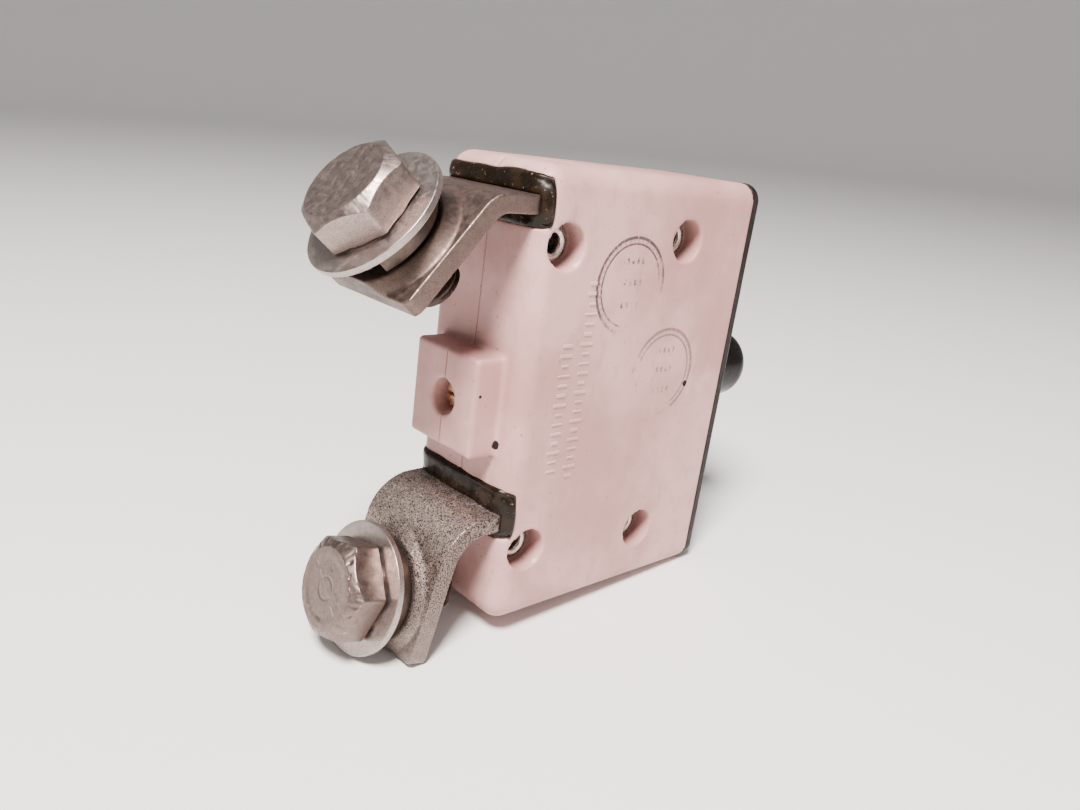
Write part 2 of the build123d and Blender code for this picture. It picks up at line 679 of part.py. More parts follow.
def main():
    os.makedirs("parts", exist_ok=True)
    for name, shape in parts().items():
        solids = shape if isinstance(shape, list) else [shape]
        solids = [solid for item in solids for solid in item.solids()]
        whole = solids[0] if len(solids) == 1 else Compound(children=solids)
        export_step(whole, f"parts/{name}.step")
    for name, terminal in (("line", LINE), ("load", LOAD)):
        face = tab_plane(terminal, terminal["land"] + LOCK_HEIGHT + WASHER_THICK)
        print(name, "bolt seat", face.origin, "axis", face.z_dir)


main()
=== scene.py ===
import json
import math

import bmesh
import bpy
import numpy as np
from mathutils import Matrix, Vector, noise


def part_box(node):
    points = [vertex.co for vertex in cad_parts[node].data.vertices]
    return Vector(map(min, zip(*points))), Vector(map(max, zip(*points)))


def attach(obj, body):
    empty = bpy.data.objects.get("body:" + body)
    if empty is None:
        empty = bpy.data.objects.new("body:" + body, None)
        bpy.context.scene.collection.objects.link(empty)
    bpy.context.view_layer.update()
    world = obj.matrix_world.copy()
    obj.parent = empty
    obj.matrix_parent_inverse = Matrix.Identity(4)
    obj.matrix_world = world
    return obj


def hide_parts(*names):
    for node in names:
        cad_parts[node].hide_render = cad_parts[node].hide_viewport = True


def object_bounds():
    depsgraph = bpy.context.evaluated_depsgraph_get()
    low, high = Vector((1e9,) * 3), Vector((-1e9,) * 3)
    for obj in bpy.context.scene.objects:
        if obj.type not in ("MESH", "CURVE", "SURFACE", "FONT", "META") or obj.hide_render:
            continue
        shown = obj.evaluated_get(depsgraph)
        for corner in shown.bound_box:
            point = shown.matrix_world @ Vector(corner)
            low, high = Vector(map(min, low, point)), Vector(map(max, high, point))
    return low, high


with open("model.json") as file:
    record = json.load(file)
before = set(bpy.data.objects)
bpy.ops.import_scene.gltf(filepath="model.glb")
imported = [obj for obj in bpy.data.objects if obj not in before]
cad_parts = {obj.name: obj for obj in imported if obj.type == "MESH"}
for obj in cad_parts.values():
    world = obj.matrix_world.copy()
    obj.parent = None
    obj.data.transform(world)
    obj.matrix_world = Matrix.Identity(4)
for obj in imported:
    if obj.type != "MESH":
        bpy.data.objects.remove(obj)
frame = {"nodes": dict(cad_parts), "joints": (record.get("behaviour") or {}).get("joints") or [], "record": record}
cad_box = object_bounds()

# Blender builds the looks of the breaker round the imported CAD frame.  Lengths are in metres;
# MM turns millimetres into metres.  The frame is the CAD one: +Y runs from the front plate to the
# terminals, +Z is up along the case and -X is the marked side.
MM = 0.001
TAU = 2 * math.pi

# ---- sizes repeated from the CAD parts, in millimetres ----
HEX_FLAT = 11.11 / 2            # centre to flat of the bolt heads
HEAD_HEIGHT = 4.5
HEAD_FACE_RADIUS = 4.85
HEAD_CONE_SLOPE = 0.743         # how fast the chamfered crown drops towards the corners
HEAD_GAP = 0.02
FORGED_RING = 1.3               # faint ring in the middle of the head
WASHER_FACE = 0.35
WASHER_FACE_RADIUS = 5.3
SHANK_RADIUS = 3.1
SHANK_LENGTH = 12.7
THREAD_PITCH = 25.4 / 28
THREAD_DEPTH = 0.42
WASHER_BORE = 3.45
WASHER_RADIUS = {"line": 8.25, "load": 7.95}
WASHER_THICK = 0.85
LOCK_BORE = 3.35
LOCK_RADIUS = 6.2
LOCK_THICK = 1.6
LOCK_RISE = 1.0
LOCK_TURN = math.radians(350)
LOCK_SPLIT_AT = math.radians(-45)
NUT_RADIUS = 4.9
NUT_BORE = 3.16
NUT_THICK = 1.9
STRIP_THICK = {"line": 2.15, "load": 2.3}
LAND_HEIGHT = {"line": 1.55, "load": 0.8}

# ---- the bolts' own detail ----
HEAD_POINTS = 288               # points round a bolt
THREAD_STEPS = 210              # rows along its thread
BATTERED = {"line": 0.06, "load": 0.20}     # depth of the dents in a head's crown, in mm

# ---- front side, in millimetres ----
BUSH_RADIUS = 6.0
BUSH_COLLAR = 6.3
BUSH_BORE = 4.25
BAND_BORE = 2.5
INSERT_RADIUS = 2.6
INSERT_FLANGE = 3.4
INSERT_FLANGE_AT = (1.45, 2.45)     # behind the front face
INSERT_BORE = 1.75
INSERT_PLACES = (22.225, -22.225)

# ---- marks on the case's left side, as (y, z) in millimetres ----
STAMPS = [((23.3, 14.6), (0.7, 0.7)), ((14.5, 3.0), (-0.7, 0.7))]    # centre, and the side inked most
STAMP_RADIUS = 5.8

# ---- small dark specks of stray potting, as (centre, radius) in millimetres ----
DARK_SPOTS = [((-6.0, 38.76, -4.85), 0.62), ((-9.36, 9.2, 1.0), 0.45), ((-5.95, 41.9, 1.4), 0.20)]

# ---- turns noise away from the part's own axes, so that it leaves no straight ripples ----
SKEW = Matrix.Rotation(0.7, 3, "X") @ Matrix.Rotation(0.9, 3, "Z")

# ---- raised ticks on the left side, as (y, highest z, lowest z, count) ----
TICK_ROWS = [(29.5, 15.0, -9.0, 21), (32.55, 7.7, -8.0, 14)]

# ---- tubular case rivets, in millimetres ----
RIVET_RADIUS = 1.70
RIVET_BORE = 1.05
RIVET_RIM = 2.42                # the rolled rim at each end

# ---- stage and lights, in metres and watts ----
FLOOR_FLAT = 1.1                # radius of the flat floor
FLOOR_SWEEP = 0.6               # radius of the curve round it
FLOOR_RISE = 0.9                # upright part above the curve
LIT_POINT = (0.0, 0.025, 0.0)   # where both lights aim
KEY_TOWARDS = (-0.30, 0.50, 0.84)
KEY_DISTANCE = 0.55
KEY_POWER = 12.5
FILL_AT = (-0.45, 0.05, 0.16)
FILL_POWER = 0.7
AMBIENT = 0.34

# ---- camera, as places in millimetres and directions ----
CAMERA_LENS = 28.82
CAMERA_AT = (-78.05, 102.06, 30.44)
CAMERA_FORWARD = (0.68700, -0.66365, -0.29596)
CAMERA_UP = (0.30450, -0.10689, 0.94650)


def joint(name):
    """A joint of the CAD frame by name."""
    return next(j for j in frame["joints"] if j["name"] == name)


def node_points(name):
    """All vertices of a CAD node, in metres."""
    return np.array([v.co for v in frame["nodes"][name].data.vertices], float)


# ---------------------------------------------------------------- mesh helpers

def new_piece(name, mesh):
    """Object with a mesh, placed in the scene."""
    piece = bpy.data.objects.new(name, mesh)
    bpy.context.scene.collection.objects.link(piece)
    return piece


def from_rows(name, rows, close_rows=False, caps=True):
    """Mesh from rows of points, each row a closed ring; caps end in a point at each row's centre."""
    rows = [np.asarray(r, float) for r in rows]
    count = len(rows[0])
    points = np.concatenate(rows)
    faces = []
    last = len(rows) if close_rows else len(rows) - 1
    for i in range(last):
        a, b = i * count, ((i + 1) % len(rows)) * count
        for k in range(count):
            n = (k + 1) % count
            faces.append((a + k, a + n, b + n, b + k))
    if caps and not close_rows:
        for row, flip in ((0, True), (len(rows) - 1, False)):
            centre = len(points)
            points = np.vstack([points, rows[row].mean(0)])
            base = row * count
            for k in range(count):
                n = (k + 1) % count
                faces.append((base + n, base + k, centre) if flip else (base + k, base + n, centre))
    mesh = bpy.data.meshes.new(name)
    mesh.from_pydata([tuple(p) for p in points], [], faces)
    mesh.update()
    piece = new_piece(name, mesh)
    fix_normals(piece)
    return piece


def fix_normals(piece):
    """Point every face outwards and shade the piece smooth."""
    bm = bmesh.new()
    bm.from_mesh(piece.data)
    bmesh.ops.recalc_face_normals(bm, faces=bm.faces)
    bm.to_mesh(piece.data)
    bm.free()
    shade_smooth(piece)


def shade_smooth(piece, angle=None):
    """Smooth shading, with edges sharper than angle in degrees kept crisp."""
    piece.data.shade_smooth()
    if angle is not None:
        piece.data.set_sharp_from_angle(angle=math.radians(angle))


def corner_curve(before, corner, after, radius, steps):
    """Points of a short curve that rounds one corner, both of its ends included."""
    start = corner + (before - corner).normalized() * min(radius, (corner - before).length * 0.45)
    end = corner + (after - corner).normalized() * min(radius, (after - corner).length * 0.45)
    return [start * (1 - t) ** 2 + corner * (2 * t * (1 - t)) + end * t ** 2
            for t in (i / steps for i in range(steps + 1))]


def soften(points, radius, steps=4):
    """Open polyline of (r, z) with each inner corner rounded by a short curve."""
    points = [Vector(p) for p in points]
    out = [points[0]]
    for before, corner, after in zip(points, points[1:], points[2:]):
        out += corner_curve(before, corner, after, radius, steps)
    out.append(points[-1])
    return [(p[0], p[1]) for p in out]


def soften_loop(points, radius, steps=4):
    """Closed loop of (r, z) with every corner rounded."""
    ring = [points[-1]] + list(points) + [points[0]]
    return soften(ring, radius, steps)[1:-1]


def rounded_outline(points, radius, steps=3, fill=3):
    """Open polyline of (r, z) with rounded corners and the same number of points whatever its size."""
    points = [Vector(p) for p in points]
    out = []
    leave = points[0]
    for before, corner, after in zip(points, points[1:], points[2:]):
        curve = corner_curve(before, corner, after, radius, steps)
        out += [leave.lerp(curve[0], i / (fill + 1)) for i in range(fill + 1)]
        out += curve[:-1]
        leave = curve[-1]
    out += [leave.lerp(points[-1], i / (fill + 1)) for i in range(fill + 2)]
    return [(p[0], p[1]) for p in out]


def densify(points, step):
    """Polyline with extra points so that no stretch is longer than step."""
    out = [points[0]]
    for a, b in zip(points, points[1:]):
        pieces = max(1, math.ceil(math.hypot(b[0] - a[0], b[1] - a[1]) / step))
        out += [(a[0] + (b[0] - a[0]) * i / pieces, a[1] + (b[1] - a[1]) * i / pieces)
                for i in range(1, pieces + 1)]
    return out


def dense_loop(points, step):
    """Closed loop with extra points so that no stretch is longer than step."""
    return densify(points + [points[0]], step)[:-1]


def turned(name, profile, segments, place, closed):
    """Solid of revolution from (r, z) in millimetres, moved by place."""
    angles = np.linspace(0, TAU, segments, endpoint=False)
    rows = [[place @ Vector((r * math.cos(a) * MM, r * math.sin(a) * MM, z * MM)) for a in angles]
            for r, z in profile]
    return from_rows(name, rows, close_rows=closed, caps=not closed)


def rough_noise(point, scale, octaves=3):
    """Fractal noise at a point, scale in features per millimetre, seeded by place alone."""
    return noise.fractal(point * (scale / MM), 1.0, 2.0, octaves)


def displace(piece, offset):
    """Move each vertex along its normal by offset(point, normal), in millimetres."""
    mesh = piece.data
    normals = [v.normal.copy() for v in mesh.vertices]
    points = [v.co.copy() for v in mesh.vertices]
    for vertex, point, normal in zip(mesh.vertices, points, normals):
        vertex.co = point + normal * (offset(point, normal) * MM)
    mesh.update()


def node_copy(node, name):
    """New mesh with the shape of a CAD node, its doubled vertices merged."""
    mesh = frame["nodes"][node].data.copy()
    mesh.materials.clear()
    bm = bmesh.new()
    bm.from_mesh(mesh)
    bmesh.ops.remove_doubles(bm, verts=bm.verts, dist=0.002 * MM)
    bmesh.ops.dissolve_degenerate(bm, edges=bm.edges, dist=0.001 * MM)
    bm.to_mesh(mesh)
    bm.free()
    if "custom_normal" in mesh.attributes:
        mesh.attributes.remove(mesh.attributes["custom_normal"])
    return new_piece(name, mesh)


def apply_modifiers(piece):
    """Bake a piece's modifiers into its mesh."""
    graph = bpy.context.evaluated_depsgraph_get()
    mesh = bpy.data.meshes.new_from_object(piece.evaluated_get(graph))
    piece.modifiers.clear()
    piece.data = mesh
    return piece


def remeshed(piece, voxel, smoothing):
    """Even, closed mesh with edges worn round; voxel in millimetres."""
    remesh = piece.modifiers.new("remesh", "REMESH")
    remesh.mode = "VOXEL"
    remesh.voxel_size = voxel * MM
    remesh.use_smooth_shade = True
    if smoothing:
        smooth = piece.modifiers.new("smooth", "SMOOTH")
        smooth.factor = 0.5
        smooth.iterations = smoothing
    apply_modifiers(piece)
    shade_smooth(piece)
    return piece


def softened(piece, width, segments=2, angle=35):
    """Small rounds on every sharp edge; width in millimetres."""
    bm = bmesh.new()
    bm.from_mesh(piece.data)
    bmesh.ops.dissolve_limit(bm, angle_limit=math.radians(0.3), verts=bm.verts, edges=bm.edges)
    bm.to_mesh(piece.data)
    bm.free()
    bevel = piece.modifiers.new("bevel", "BEVEL")
    bevel.width = width * MM
    bevel.segments = segments
    bevel.limit_method = "ANGLE"
    bevel.angle_limit = math.radians(angle)
    bevel.harden_normals = True
    shade_smooth(piece)
    apply_modifiers(piece)
    return piece


def keep_in_box(piece):
    """Hold a piece's vertices inside the CAD model's own box."""
    low, high = cad_box
    for vertex in piece.data.vertices:
        for k in range(3):
            vertex.co[k] = min(max(vertex.co[k], low[k]), high[k])


def finish_piece(piece, material, body, slot, *nodes):
    """Give a piece its material and body, and let it stand for its CAD nodes."""
    piece.data.materials.clear()
    piece.data.materials.append(material)
    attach(piece, body)
    if nodes:
        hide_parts(*nodes)
    return piece


# ---------------------------------------------------------------- materials

class Shader:
    """A procedural material under construction; its texture space is in millimetres."""

    def __init__(self, name):
        self.material = bpy.data.materials.new(name)
        self.material.use_nodes = True
        self.tree = self.material.node_tree
        self.bsdf = self.tree.nodes["Principled BSDF"]
        place = self.tree.nodes.new("ShaderNodeTexCoord")
        scale = self.tree.nodes.new("ShaderNodeVectorMath")
        scale.operation = "SCALE"
        scale.inputs["Scale"].default_value = 1 / MM
        self.link(place.outputs["Object"], scale.inputs[0])
        self.space = scale.outputs[0]

    def link(self, source, target):
        """Join an output to an input."""
        self.tree.links.new(source, target)

    def put(self, target, value):
        """Set an input to a number or colour, or join it to another node's output."""
        if isinstance(value, bpy.types.NodeSocket):
            self.link(value, target)
        else:
            target.default_value = value

    def math(self, operation, a, b=0.0, clamp=False):
        """One arithmetic step on numbers or outputs."""
        node = self.tree.nodes.new("ShaderNodeMath")
        node.operation = operation
        node.use_clamp = clamp
        self.put(node.inputs[0], a)
        self.put(node.inputs[1], b)
        return node.outputs[0]

    def noise(self, scale, detail=3.0, roughness=0.5, stretch=None, shift=0.0):
        """Noise with scale features per millimetre."""
        node = self.tree.nodes.new("ShaderNodeTexNoise")
        node.inputs["Scale"].default_value = scale
        node.inputs["Detail"].default_value = detail
        node.inputs["Roughness"].default_value = roughness
        mapping = self.tree.nodes.new("ShaderNodeMapping")
        mapping.inputs["Scale"].default_value = stretch or (1, 1, 1)
        mapping.inputs["Location"].default_value = (shift, shift * 0.7, -shift)
        self.link(self.space, mapping.inputs["Vector"])
        self.link(mapping.outputs["Vector"], node.inputs["Vector"])
        return node.outputs["Fac"]

    def steps(self, value, low, high, out_low=0.0, out_high=1.0):
        """Smooth ramp of a value from low to high."""
        node = self.tree.nodes.new("ShaderNodeMapRange")
        node.interpolation_type = "SMOOTHSTEP"
        self.put(node.inputs["Value"], value)
        ends = {"From Min": low, "From Max": high, "To Min": out_low, "To Max": out_high}
        for key, number in ends.items():
            node.inputs[key].default_value = number
        return node.outputs["Result"]

    def mix(self, factor, a, b):
        """Colour between a and b."""
        node = self.tree.nodes.new("ShaderNodeMix")
        node.data_type = "RGBA"
        self.put(node.inputs["Factor"], factor)
        for socket, value in ((node.inputs["A"], a), (node.inputs["B"], b)):
            self.put(socket, value if isinstance(value, bpy.types.NodeSocket) else (*value, 1.0))
        return node.outputs["Result"]

    def tint(self, colour, factor, strength, towards):
        """Colour taken towards another one by a share of a factor."""
        return self.mix(self.math("MULTIPLY", factor, strength), colour, towards)

    def edges(self, low=0.52, high=0.6):
        """1 on convex edges, from the mesh's own curvature."""
        node = self.tree.nodes.new("ShaderNodeNewGeometry")
        return self.steps(node.outputs["Pointiness"], low, high)

    def hollows(self, low=0.4, high=0.48):
        """1 in concave creases."""
        node = self.tree.nodes.new("ShaderNodeNewGeometry")
        return self.steps(node.outputs["Pointiness"], high, low)

    def axes(self):
        """The x, y and z of a point, in millimetres."""
        node = self.tree.nodes.new("ShaderNodeSeparateXYZ")
        self.link(self.space, node.inputs[0])
        return node.outputs

    def bump(self, *layers):
        """Stack of (height, distance in mm, strength) bumps."""
        normal = None
        for height, distance, strength in layers:
            node = self.tree.nodes.new("ShaderNodeBump")
            node.inputs["Distance"].default_value = distance * MM
            node.inputs["Strength"].default_value = strength
            self.put(node.inputs["Height"], height)
            if normal is not None:
                self.link(normal, node.inputs["Normal"])
            normal = node.outputs["Normal"]
        self.link(normal, self.bsdf.inputs["Normal"])

    def set(self, **values):
        """Set the surface shader's inputs, with underscores for spaces in their names."""
        for key, value in values.items():
            self.put(self.bsdf.inputs[key.replace("_", " ")], value)


def strongest(shader, values):
    """The largest of several factors."""
    most = values[0]
    for value in values[1:]:
        most = shader.math("MAXIMUM", most, value)
    return most


def ink_stamp(shader, y, z, centre, lean, seed):
    """Worn rubber-stamp mark: two rings and rows of plain dashes, with patchy ink."""
    cy, cz = centre
    dy = shader.math("SUBTRACT", y, cy)
    dz = shader.math("SUBTRACT", z, cz)
    squares = [shader.math("MULTIPLY", d, d) for d in (dy, dz)]
    distance = shader.math("SQRT", shader.math("ADD", *squares))

    def near(value, target, width):
        """1 where a value is close to a target."""
        gap = shader.math("ABSOLUTE", shader.math("SUBTRACT", value, target))
        return shader.steps(gap, width, width * 0.45)

    rings = [near(distance, STAMP_RADIUS, 0.27), near(distance, STAMP_RADIUS - 0.75, 0.17)]
    angle = shader.math("ARCTAN2", dz, dy)
    ticks = shader.steps(shader.math("SINE", shader.math("MULTIPLY", angle, 44.0)), 0.1, 0.5)
    ticks = shader.math("MULTIPLY", ticks, near(distance, STAMP_RADIUS - 0.38, 0.34))
    rows = [near(dz, offset, 0.48) for offset in (-2.4, 0.4, 3.0)]
    dashes = shader.steps(shader.math("SINE", shader.math("MULTIPLY", dy, 7.0)), -0.1, 0.4)
    dashes = shader.math("MULTIPLY", dashes, strongest(shader, rows))
    dashes = shader.math("MULTIPLY", dashes, shader.steps(shader.math("ABSOLUTE", dy), 2.0, 1.7))
    blots = shader.steps(shader.noise(1.5, 3.0, 0.6, shift=seed + 5.0), 0.42, 0.52)
    dashes = shader.math("MULTIPLY", dashes, blots)
    fine = [shader.math("MULTIPLY", ticks, 0.32), shader.math("MULTIPLY", dashes, 0.95)]
    mark = strongest(shader, rings + fine)
    parts = [shader.math("MULTIPLY", d, share / STAMP_RADIUS) for d, share in zip((dy, dz), lean)]
    slope = shader.math("ADD", *parts)
    uneven = shader.math("MULTIPLY", shader.noise(0.5, 4.0, 0.6, shift=seed), 2.4)
    patchy = shader.steps(shader.math("ADD", slope, uneven), 0.50, 1.15)
    grain = shader.steps(shader.noise(3.5, 3.0, 0.7, shift=seed), 0.26, 0.47)
    return shader.math("MULTIPLY", mark, shader.math("MULTIPLY", patchy, grain))


def spot(s, centre, radius):
    """1 inside a small round mark about a point, its rim broken by noise."""
    parts = []
    for axis, value in zip(s.axes(), centre):
        gap = s.math("SUBTRACT", axis, value)
        parts.append(s.math("MULTIPLY", gap, gap))
    distance = s.math("SQRT", s.math("ADD", s.math("ADD", parts[0], parts[1]), parts[2]))
    ragged = s.math("ADD", distance, s.math("MULTIPLY", s.noise(1.6, 3.0), radius * 0.8))
    return s.steps(ragged, radius * 1.5, radius * 1.25)


def case_material():
    """Pale pink moulded resin: mottled, finely grained, grimy in places, with painted shade in its creases and
    rivet recesses, and worn stamp marks.
    """
    s = Shader("case_resin")
    x, y, z = s.axes()
    broad = s.noise(0.055, 4.0, 0.55)
    colour = s.mix(s.steps(broad, 0.36, 0.64), (0.400, 0.205, 0.190), (0.540, 0.312, 0.296))
    cloud = s.steps(s.noise(0.35, 5.0, 0.62, shift=7.0), 0.46, 0.72)
    colour = s.tint(colour, cloud, 0.45, (0.39, 0.22, 0.19))
    smear = s.steps(s.noise(0.22, 5.0, 0.7, stretch=(1.0, 2.2, 0.6), shift=31.0), 0.56, 0.72)
    colour = s.tint(colour, smear, 0.36, (0.31, 0.165, 0.135))
    specks = s.steps(s.noise(1.9, 2.0, 0.5, shift=3.0), 0.695, 0.735)
    colour = s.tint(colour, specks, 0.65, (0.14, 0.08, 0.06))
    grain = s.noise(6.5, 4.0, 0.6)
    colour = s.tint(colour, s.steps(grain, 0.50, 0.78), 0.16, (0.38, 0.25, 0.23))
    # painted shade and grime: darker in the concave creases
    colour = s.tint(colour, s.hollows(0.36, 0.47), 0.65, (0.20, 0.11, 0.09))
    colour = s.tint(colour, s.edges(0.53, 0.62), 0.35, (0.80, 0.63, 0.61))
    parting = s.steps(s.math("ABSOLUTE", x), 0.13, 0.05)
    colour = s.tint(colour, parting, 0.50, (0.13, 0.065, 0.05))
    ink = [ink_stamp(s, y, z, centre, lean, 11.0 * (i + 1)) for i, (centre, lean) in enumerate(STAMPS)]
    # the second stamp is fainter, and both are on the left face only
    ink[1] = s.math("MULTIPLY", ink[1], 0.7)
    ink = s.math("MULTIPLY", strongest(s, ink), s.steps(x, -9.20, -9.34))
    colour = s.tint(colour, ink, 0.95, (0.045, 0.026, 0.034))
    # painted shade deep in the rivet holes, inside the case's outline
    deep = s.steps(s.math("ABSOLUTE", x), 9.15, 6.6)
    deep = s.math("MULTIPLY", deep, s.steps(y, 37.0, 36.6))
    deep = s.math("MULTIPLY", deep, s.steps(s.math("ABSOLUTE", z), 26.0, 25.5))
    colour = s.tint(colour, deep, 0.75, (0.16, 0.085, 0.070))
    marks = strongest(s, [spot(s, centre, radius) for centre, radius in DARK_SPOTS])
    colour = s.mix(marks, colour, (0.008, 0.004, 0.003))
    rough = s.steps(s.noise(0.5, 4.0, 0.6), 0.3, 0.7, 0.36, 0.50)
    rough = s.math("ADD", rough, s.math("MULTIPLY", cloud, 0.10))
    rough = s.math("ADD", rough, s.math("MULTIPLY", marks, 0.5), clamp=True)
    s.set(Base_Color=colour, Roughness=rough, Specular_IOR_Level=0.32)
    s.bump((s.noise(0.16, 3.0, 0.5), 0.12, 0.40), (grain, 0.03, 0.5), (s.noise(22.0, 2.0, 0.5), 0.008, 0.4))
    return s.material


def black_material(name, base, roughness, dust):
    """Black moulding: near-black with dusty patches and fine grain."""
    s = Shader(name)
    patches = s.steps(s.noise(0.5, 5.0, 0.65), 0.45, 0.8)
    colour = s.tint(base, patches, dust, (0.20, 0.15, 0.13))
    colour = s.tint(colour, s.edges(0.56, 0.68), 0.3, (0.10, 0.07, 0.06))
    s.set(Base_Color=colour,
          Roughness=s.steps(s.noise(0.9, 4.0, 0.6), 0.3, 0.7, roughness - 0.07, roughness + 0.10),
          Specular_IOR_Level=0.16)
    s.bump((s.noise(0.4, 3.0), 0.05, 0.4), (s.noise(9.0, 3.0), 0.012, 0.4))
    return s.material


def potting_material():
    """Black-brown potting compound: glossy, uneven, with trapped specks and dust."""
    s = Shader("potting_black")
    patches = s.steps(s.noise(0.45, 4.0, 0.55), 0.42, 0.74)
    colour = s.mix(patches, (0.007, 0.0042, 0.0022), (0.020, 0.011, 0.006))
    dust = s.steps(s.noise(3.2, 2.0, 0.5, shift=5.0), 0.69, 0.74)
    colour = s.tint(colour, dust, 0.6, (0.26, 0.18, 0.14))
    s.set(Base_Color=colour, Roughness=s.steps(s.noise(0.9, 3.0, 0.6), 0.3, 0.7, 0.22, 0.42),
          Specular_IOR_Level=0.18)
    s.bump((s.noise(0.5, 3.0), 0.10, 0.4), (s.noise(3.5, 3.0), 0.015, 0.3))
    return s.material


def along(s, end):
    """Height above a flat washer's outer face, along its bolt's axis, in millimetres."""
    record = joint(end + "_bolt_turn")
    total = -sum(p * a for p, a in zip(record["pos_m"], record["axis"])) / MM
    for value, share in zip(s.axes(), record["axis"]):
        total = s.math("ADD", s.math("MULTIPLY", value, share), total)
    return total


def metal_material(name, light, dark, rust, roughness, pits=0.0, wear=0.5, cover=0.30,
                   shade_and_dirt=None, fade=None):
    """Dull plated metal: finely stained and pitted, brighter on worn edges and darker in hollows.

    pits is how dark and deep the pits are, and cover about how much of the surface they take.
    The two functions take the shader and give the factor of a darkening made of painted shade and oily dirt, and
    the factor of the pits.
    """
    s = Shader(name)
    bright = tuple(min(1.0, c * 1.5) for c in light)
    soot_and_shade = tuple(c * 0.18 for c in rust)
    stain = s.steps(s.noise(1.4, 4.0, 0.6), 0.25, 0.75)
    colour = s.tint(light, stain, 0.55, dark)
    film = s.steps(s.noise(5.0, 4.0, 0.65, shift=4.0), 0.46, 0.72)
    colour = s.tint(colour, film, 0.40, rust)
    scratch = s.steps(s.noise(1.8, 3.0, 0.7, stretch=(1.0, 12.0, 1.5), shift=2.0), 0.64, 0.72)
    colour = s.tint(colour, scratch, 0.12, bright)
    grain = s.noise(11.0, 4.0, 0.65)
    threshold = 0.66 - 0.45 * cover
    hole = s.math("MULTIPLY", s.steps(s.noise(6.0, 3.0, 0.65, shift=9.0), threshold, threshold + 0.09), pits)
    if fade:
        hole = s.math("MULTIPLY", hole, fade(s))
    colour = s.mix(hole, colour, soot_and_shade)
    colour = s.tint(colour, s.hollows(0.30, 0.43), 0.7, soot_and_shade)
    colour = s.tint(colour, s.edges(0.56, 0.68), wear, bright)
    if shade_and_dirt:
        # painted shade with oily dirt, where a factor for it is given
        colour = s.tint(colour, shade_and_dirt(s), 0.85, soot_and_shade)
    shine = s.math("MULTIPLY", s.edges(0.56, 0.68), -0.14)
    rough = s.steps(s.noise(1.2, 4.0, 0.6), 0.3, 0.7, roughness - 0.06, roughness + 0.10)
    rough = s.math("ADD", rough, shine)
    rough = s.math("ADD", rough, s.math("MULTIPLY", hole, 0.25), clamp=True)
    s.set(Base_Color=colour, Metallic=1.0, Roughness=rough)
    s.bump((s.noise(0.7, 4.0, 0.6), 0.04, 0.4), (grain, 0.018, 0.5), (hole, 0.06, -0.8 if pits else 0.0))
    return s.material


def thread_shade(s, end):
    """1 on a bolt's threaded part, where it comes out behind the tab, for painted shade there."""
    return s.steps(along(s, end), -3.0, -4.5)


def pit_fade(s):
    """Pits fade towards the lower end of the load terminal's tab."""
    return s.steps(s.axes()[2], -29.0, -19.0, 0.35, 1.0)


def seat_shade_and_dirt(s, end):
    """Painted shade and oily dirt on a tab around its hardware, strongest under the washers."""
    height = along(s, end)
    total = s.math("MULTIPLY", s.math("MULTIPLY", height, height), -1.0)
    for value, centre in zip(s.axes(), joint(end + "_bolt_turn")["pos_m"]):
        gap = s.math("SUBTRACT", value, centre / MM)
        total = s.math("ADD", s.math("MULTIPLY", gap, gap), total)
    distance = s.math("ADD", s.math("SQRT", total), s.noise(0.8, 3.0))
    return s.steps(distance, 9.0, 7.2, 0.0, 0.60)


def load_darkening(s):
    """Darker on the near cut edge and towards the lower end of the load terminal, with painted shade and oily dirt
    around its hardware.
    """
    x, _, z = s.axes()
    edge = s.math("MAXIMUM", s.steps(x, -7.8, -8.15, 0.0, 0.50), s.steps(z, -20.0, -28.0, 0.0, 0.38))
    return s.math("MAXIMUM", edge, seat_shade_and_dirt(s, "load"))


def fibre_material(name, light, dark):
    """Pressed fibre or phenolic: speckled and matt."""
    s = Shader(name)
    colour = s.mix(s.steps(s.noise(1.5, 5.0, 0.6), 0.35, 0.65), light, dark)
    s.set(Base_Color=colour, Roughness=s.steps(s.noise(2.0, 3.0), 0.3, 0.7, 0.5, 0.75))
    s.bump((s.noise(7.0, 3.0), 0.03, 0.5))
    return s.material


def stage_material():
    """Plain pale floor."""
    s = Shader("stage_floor")
    s.set(Base_Color=(0.80, 0.79, 0.78, 1.0), Roughness=0.55, Specular_IOR_Level=0.3)
    return s.material


